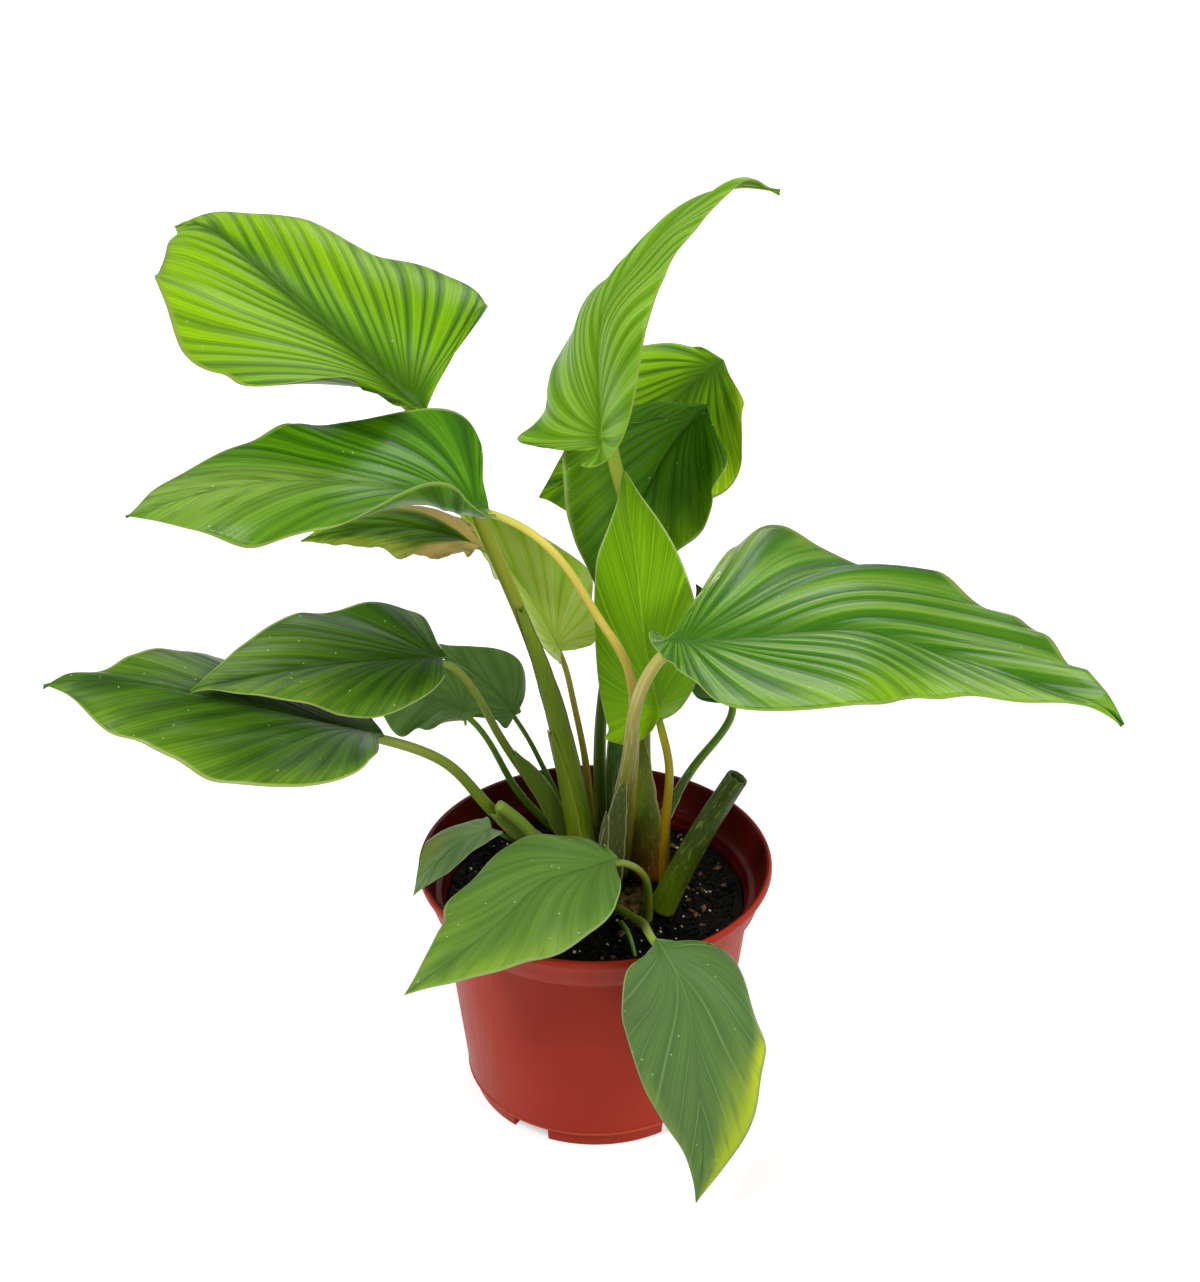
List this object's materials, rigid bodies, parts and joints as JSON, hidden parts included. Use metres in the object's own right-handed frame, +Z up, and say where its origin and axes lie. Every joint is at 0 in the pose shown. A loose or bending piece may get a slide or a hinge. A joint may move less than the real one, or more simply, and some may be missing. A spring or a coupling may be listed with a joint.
{
  "type": "potted homalomena",
  "caption": "Clump-forming foliage plant with stalked heart-shaped leaves in a round tapered plastic nursery pot filled with potting soil.",
  "frame": {"origin": "centre of the pot's flat underside, on the surface it stands on", "axes": "+Z up along the pot's axis, -Y to the plant's front, +X to the right as seen from the front, the way the widest leaves spread"},
  "size_m": [0.445, 0.2441, 0.4264],
  "materials": {
    "pot_plastic": "satin moulded polypropylene, terracotta red",
    "potting_soil": "damp crumbly peat mix with bark and perlite",
    "rootstock_bark": "rough fibrous bark",
    "leaf_bright": "glossy leaf, bright yellow-green",
    "leaf_dark": "glossy leaf, dark green with lighter veins",
    "leaf_withered": "dry papery leaf, brown",
    "stalk_green": "smooth fleshy leaf stalk, green",
    "stalk_tan": "satin fleshy leaf stalk, tan to orange"
  },
  "bodies": {
    "root": {"back_dark_blade": "leaf_dark", "back_dark_stalk": "stalk_green", "back_right_blade": "leaf_dark", "back_right_stalk": "stalk_green", "cut_stub_left": "stalk_green", "cut_stub_right": "stalk_green", "far_left_blade": "leaf_dark", "far_left_stalk": "stalk_green", "front_hanging_blade": "leaf_dark", "front_hanging_stalk": "stalk_green", "front_left_blade": "leaf_dark", "front_left_stalk": "stalk_green", "grey_left_blade": "leaf_dark", "grey_left_stalk": "stalk_green", "hidden_right_blade": "leaf_dark", "hidden_right_stalk": "stalk_green", "large_right_blade": "leaf_bright", "large_right_stalk": "stalk_tan", "low_left_blade": "leaf_dark", "low_left_stalk": "stalk_green", "mid_left_blade": "leaf_dark", "mid_left_stalk": "stalk_tan", "pale_folded_blade": "leaf_bright", "pale_folded_stalk": "stalk_green", "pot": "pot_plastic", "rim_left_blade": "leaf_dark", "rim_left_stalk": "stalk_green", "rootstock_back": "rootstock_bark", "rootstock_front": "rootstock_bark", "small_left_blade": "leaf_dark", "small_left_stalk": "stalk_green", "soil": "potting_soil", "sprout": "stalk_green", "tall_centre_blade": "leaf_bright", "tall_centre_stalk": "stalk_green", "upper_left_blade": "leaf_bright", "upper_left_stalk": "stalk_green", "withered_blade": "leaf_withered", "withered_stalk": "stalk_tan", "young_centre_blade": "leaf_bright", "young_centre_stalk": "stalk_tan"}
  },
  "joints": []
}
